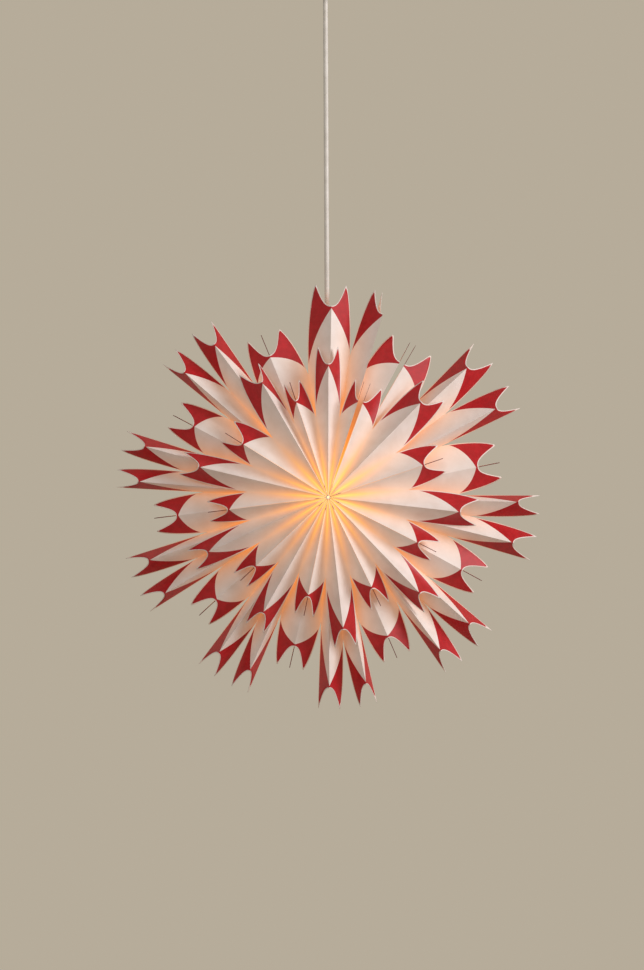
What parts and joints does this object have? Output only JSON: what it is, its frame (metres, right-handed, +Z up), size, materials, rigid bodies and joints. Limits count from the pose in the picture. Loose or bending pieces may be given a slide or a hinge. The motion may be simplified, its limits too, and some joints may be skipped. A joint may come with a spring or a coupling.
{
  "type": "paper star lantern pendant",
  "caption": "Hanging star lantern of folded white paper with red petal tips, lit by a bulb inside and hung on a cord from a ceiling cup.",
  "frame": {"origin": "ceiling mount: the middle of the bracket's upper face, in the ceiling's plane", "axes": "+Z up to the ceiling, the star's axis along Y with its front facing -Y, +X to the right seen from the front"},
  "size_m": [0.5064, 0.1704, 0.9134],
  "materials": {
    "printed_paper": "matt uncoated white paper with red print on the petal tips",
    "white_metal": "satin white paint",
    "zinc_sheet": "zinc-plated sheet",
    "zinc_wire": "zinc-plated wire and small parts",
    "white_plastic": "moulded white plastic",
    "bulb_plastic": "moulded white plastic",
    "clear_plastic": "translucent plastic",
    "porcelain": "unglazed white insulator",
    "brass_parts": "bright brass",
    "nickel_thread": "nickel-plated thread",
    "board_metal": "white-lacquered board",
    "opal_glass": "opal glass, lit warm white",
    "cord_sheath": "smooth white sheath",
    "dot_fabric": "white hook-and-loop tape"
  },
  "bodies": {
    "ceiling_fitting": {"ceiling_bracket": "zinc_sheet", "ceiling_hook": "zinc_wire", "hook_nut": "zinc_wire", "terminal_block": "clear_plastic", "terminal_screws": "brass_parts", "canopy": "white_metal", "canopy_screws": "white_metal", "outlet_bush": "white_plastic"},
    "link": {"hanging_link": "zinc_wire"},
    "pendant": {"cord_clamp": "white_plastic", "clamp_screws": "zinc_wire", "cord": "cord_sheath"},
    "star": {"front_card_1": "printed_paper", "back_card_1": "printed_paper", "front_card_2": "printed_paper", "back_card_2": "printed_paper", "front_card_3": "printed_paper", "back_card_3": "printed_paper", "front_card_4": "printed_paper", "back_card_4": "printed_paper", "front_card_5": "printed_paper", "back_card_5": "printed_paper", "front_card_6": "printed_paper", "back_card_6": "printed_paper", "front_card_7": "printed_paper", "back_card_7": "printed_paper", "front_card_8": "printed_paper", "back_card_8": "printed_paper", "front_card_9": "printed_paper", "back_card_9": "printed_paper", "bag_1": "printed_paper", "bag_2": "printed_paper", "bag_3": "printed_paper", "bag_4": "printed_paper", "bag_5": "printed_paper", "bag_6": "printed_paper", "bag_7": "printed_paper", "bag_8": "printed_paper", "bag_9": "printed_paper", "front_eyelet": "zinc_wire", "back_eyelet": "zinc_wire", "hook_dots": "dot_fabric", "loop_dots": "dot_fabric", "wire_frame": "zinc_wire", "holder_cap": "white_plastic", "grip_screw": "white_plastic", "holder_body": "white_plastic", "contact_carrier": "porcelain", "thread_contact": "brass_parts", "centre_contact": "brass_parts"},
    "bulb": {"bulb_button": "brass_parts", "bulb_thread": "nickel_thread", "bulb_collar": "bulb_plastic", "light_board": "board_metal", "bulb_globe": "opal_glass"}
  },
  "joints": [
    {"name": "swing_front_back", "type": "hinge", "parent": "ceiling_fitting", "child": "link", "pos_m": [0, 0, -0.02], "axis": [1, 0, 0], "range_deg": [-8, 8]},
    {"name": "swing_sideways", "type": "hinge", "parent": "link", "child": "pendant", "pos_m": [0, 0, -0.02845], "axis": [0, 1, 0], "range_deg": [-8, 8]},
    {"name": "star_turn", "type": "hinge", "parent": "pendant", "child": "star", "pos_m": [0, 0, -0.57265], "axis": [0, 0, 1], "range_deg": [-90, 90], "stiffness_Nm_per_rad": 0.005},
    {"name": "bulb_out", "type": "slide", "parent": "star", "child": "bulb", "axis": [0, 0, -1], "range_m": [0, 0.02]}
  ]
}
